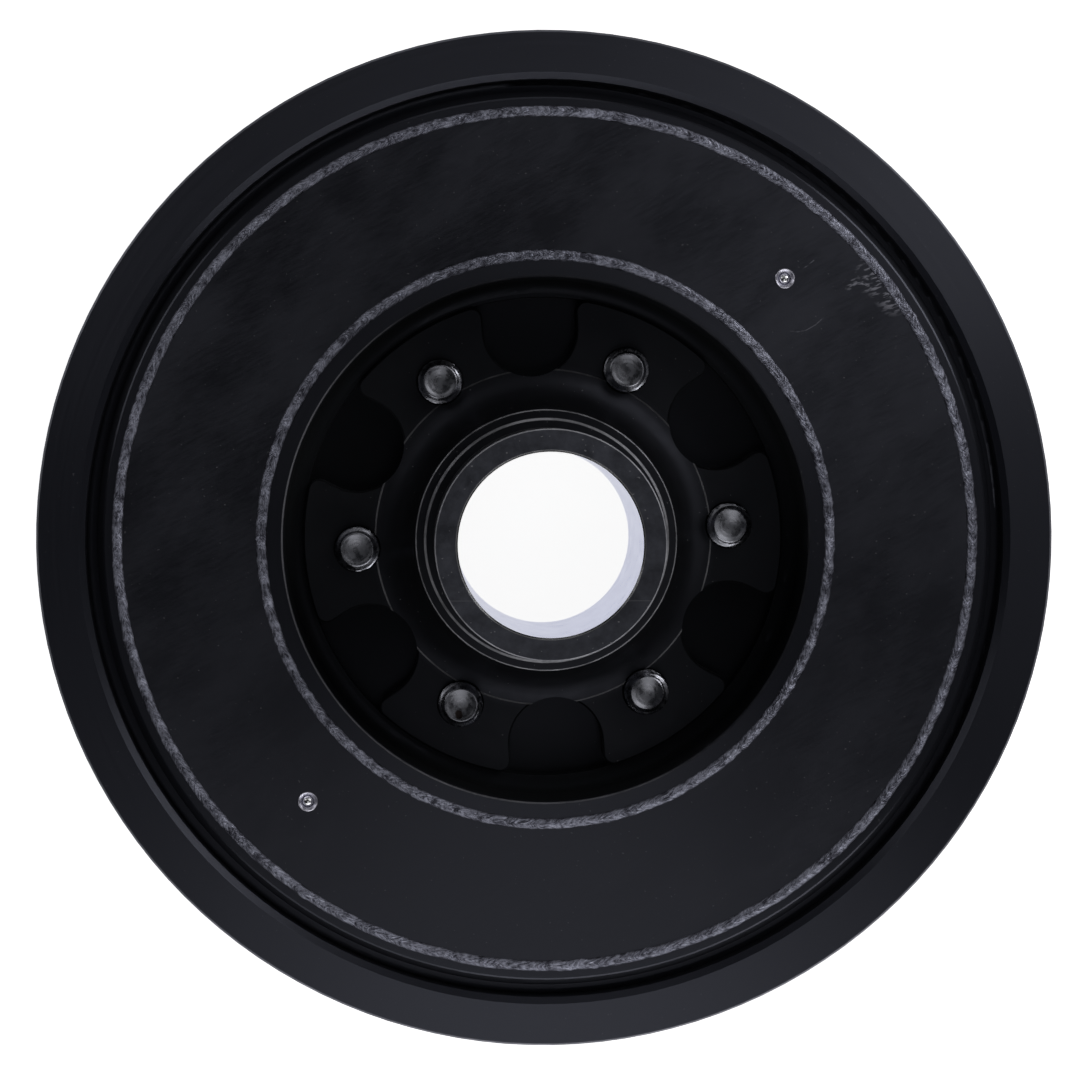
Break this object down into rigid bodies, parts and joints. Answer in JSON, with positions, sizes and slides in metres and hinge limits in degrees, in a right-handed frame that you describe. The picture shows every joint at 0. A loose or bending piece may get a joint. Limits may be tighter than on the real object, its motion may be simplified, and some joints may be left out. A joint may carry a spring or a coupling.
{
  "type": "harmonic balancer",
  "caption": "Viscous crankshaft harmonic balancer: a sealed, welded damper housing inside a grooved belt rim, bolted to a lobed hub with a bored seal snout.",
  "frame": {"origin": "centre of the belt rim's front face, on the crankshaft axis", "axes": "+Z along the crankshaft axis from the belt side to the engine side, +X through bolt_1"},
  "size_m": [0.2258, 0.2258, 0.075],
  "materials": {
    "black_coated_steel": "satin black coating over turned steel",
    "black_steel": "black phosphate, dull",
    "weld_metal": "rippled grey bead under a thin dark film",
    "bright_steel": "polished",
    "plain_steel": "turned",
    "bearing_bronze": "plain",
    "zinc_steel": "zinc plated, slightly dull"
  },
  "bodies": {
    "damper_body": {"crank_hub": "black_steel", "damper_housing": "black_coated_steel", "belt_rim": "black_coated_steel", "cover_plate": "black_coated_steel", "inner_weld": "weld_metal", "outer_weld": "weld_metal", "fill_sleeve_1": "bright_steel", "fill_sleeve_2": "bright_steel", "fill_ball_1": "bright_steel", "fill_ball_2": "bright_steel", "bolt_1": "zinc_steel", "bolt_2": "zinc_steel", "bolt_3": "zinc_steel", "bolt_4": "zinc_steel", "bolt_5": "zinc_steel", "bolt_6": "zinc_steel", "washer_1": "zinc_steel", "washer_2": "zinc_steel", "washer_3": "zinc_steel", "washer_4": "zinc_steel", "washer_5": "zinc_steel", "washer_6": "zinc_steel"},
    "ring": {"inertia_ring": "plain_steel", "journal_band": "bearing_bronze", "front_thrust_washer": "bearing_bronze", "rear_thrust_washer": "bearing_bronze"}
  },
  "joints": [
    {"name": "ring_spin", "type": "hinge", "parent": "damper_body", "child": "ring", "pos_m": [0, 0, 0.02425], "axis": [0, 0, 1], "continuous": true}
  ]
}
